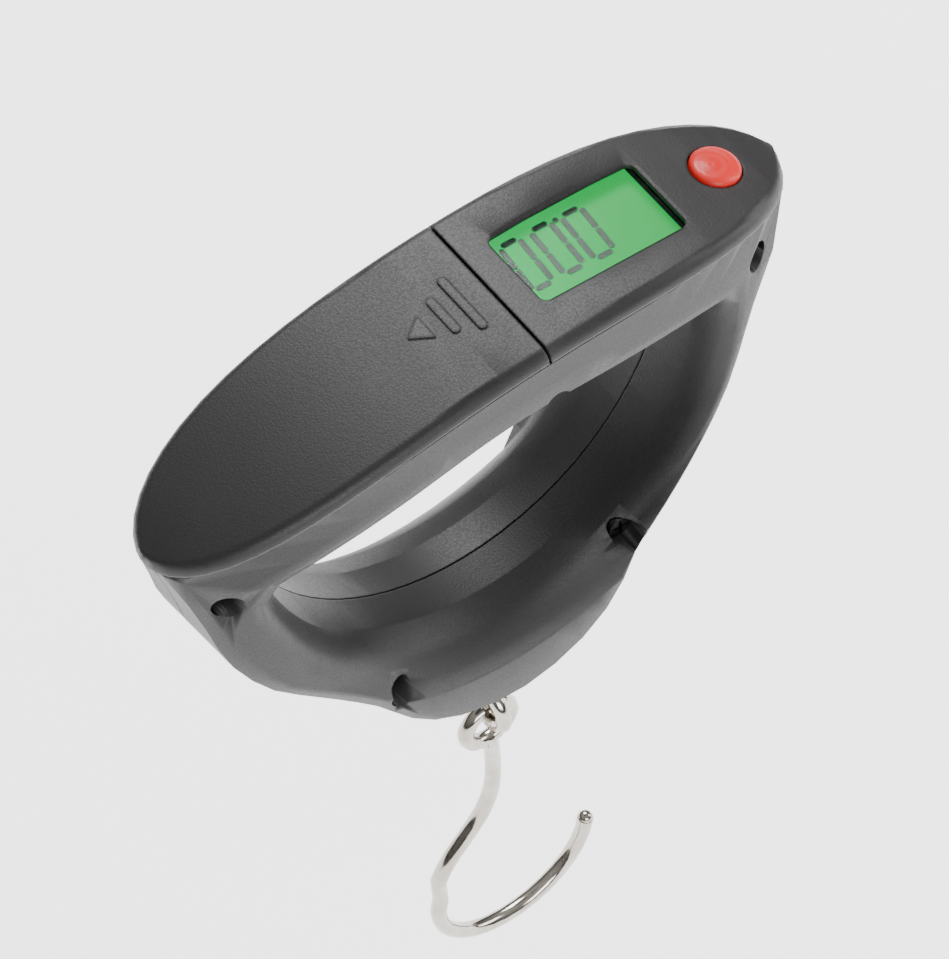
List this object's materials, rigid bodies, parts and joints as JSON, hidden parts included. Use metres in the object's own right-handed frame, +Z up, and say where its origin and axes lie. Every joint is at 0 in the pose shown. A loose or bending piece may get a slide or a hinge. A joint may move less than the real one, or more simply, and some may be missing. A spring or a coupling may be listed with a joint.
{
  "type": "digital luggage scale",
  "caption": "Hand-held digital luggage scale: ring handle with a lit display, a power button, a sliding battery cover and a swivelling steel hook.",
  "frame": {"origin": "underside centre of the top bar, where the hand holds the scale", "axes": "+X along the handle towards the power button, +Y across the handle towards the back shell, +Z up through the display panel, the hook hangs towards -Z"},
  "size_m": [0.12, 0.031, 0.1873],
  "materials": {
    "black_body": "fine matte moulded grain",
    "clear_window": "clear polished window",
    "display_green": "lit green display",
    "inner_plastic": "plain moulded",
    "board_green": "solder resist",
    "black_epoxy": "plain",
    "red_button": "satin moulded",
    "cell_jacket": "printed sleeve",
    "contact_steel": "plated",
    "bare_aluminium": "machined",
    "white_silicone": "potting",
    "nickel_wire": "nickel plated",
    "grey_insulation": "plain",
    "red_insulation": "plain",
    "black_insulation": "plain",
    "black_screw": "black oxide"
  },
  "bodies": {
    "housing": {"front_shell": "black_body", "back_shell": "black_body", "top_cover": "black_body", "display_window": "clear_window", "lcd_glass": "display_green", "backlight_panel": "display_green", "lcd_holder": "inner_plastic", "circuit_board": "board_green", "chip_blob": "black_epoxy", "tact_switch": "black_epoxy", "battery_tray": "inner_plastic", "battery_1": "cell_jacket", "battery_2": "cell_jacket", "battery_link": "contact_steel", "positive_contact": "contact_steel", "negative_contact": "contact_steel", "link_spring": "contact_steel", "negative_spring": "contact_steel", "load_cell": "bare_aluminium", "strain_gauge_top": "white_silicone", "strain_gauge_bottom": "white_silicone", "anchor_bracket": "contact_steel", "pull_eye_bushing": "nickel_wire", "sensor_cable": "grey_insulation", "battery_wire_red": "red_insulation", "battery_wire_black": "black_insulation", "housing_screw_1": "black_screw", "housing_screw_2": "black_screw", "housing_screw_3": "black_screw", "housing_screw_4": "black_screw", "housing_screw_5": "black_screw", "board_screw_1": "contact_steel", "load_cell_screw_1": "contact_steel", "board_screw_2": "contact_steel", "load_cell_screw_2": "contact_steel"},
    "cover": {"battery_cover": "black_body"},
    "button": {"power_button": "red_button"},
    "plunger": {"switch_plunger": "black_epoxy"},
    "swivel": {"pull_eye": "nickel_wire", "pull_eye_nut": "nickel_wire"},
    "hook_body": {"hook": "nickel_wire"}
  },
  "joints": [
    {"name": "cover_slide", "type": "slide", "parent": "housing", "child": "cover", "axis": [-0.9982, 0, 0.06], "range_m": [0, 0.072]},
    {"name": "button_press", "type": "slide", "parent": "housing", "child": "button", "axis": [-0.293, 0, -0.9561], "range_m": [0, 0.0004], "stiffness_N_per_m": 600, "springref_m": -0.0005},
    {"name": "plunger_press", "type": "slide", "parent": "housing", "child": "plunger", "axis": [-0.293, 0, -0.9561], "range_m": [0, 0.0004]},
    {"name": "eye_swivel", "type": "hinge", "parent": "housing", "child": "swivel", "pos_m": [0.001, 0, -0.08], "axis": [0, 0, 1], "range_deg": [-180, 180]},
    {"name": "hook_swing", "type": "hinge", "parent": "swivel", "child": "hook_body", "pos_m": [0.001, 0, -0.0995], "axis": [0, 1, 0], "range_deg": [-60, 60]}
  ],
  "couplings": [
    {"joint": "plunger_press", "follows": "button_press", "ratio": 1}
  ]
}
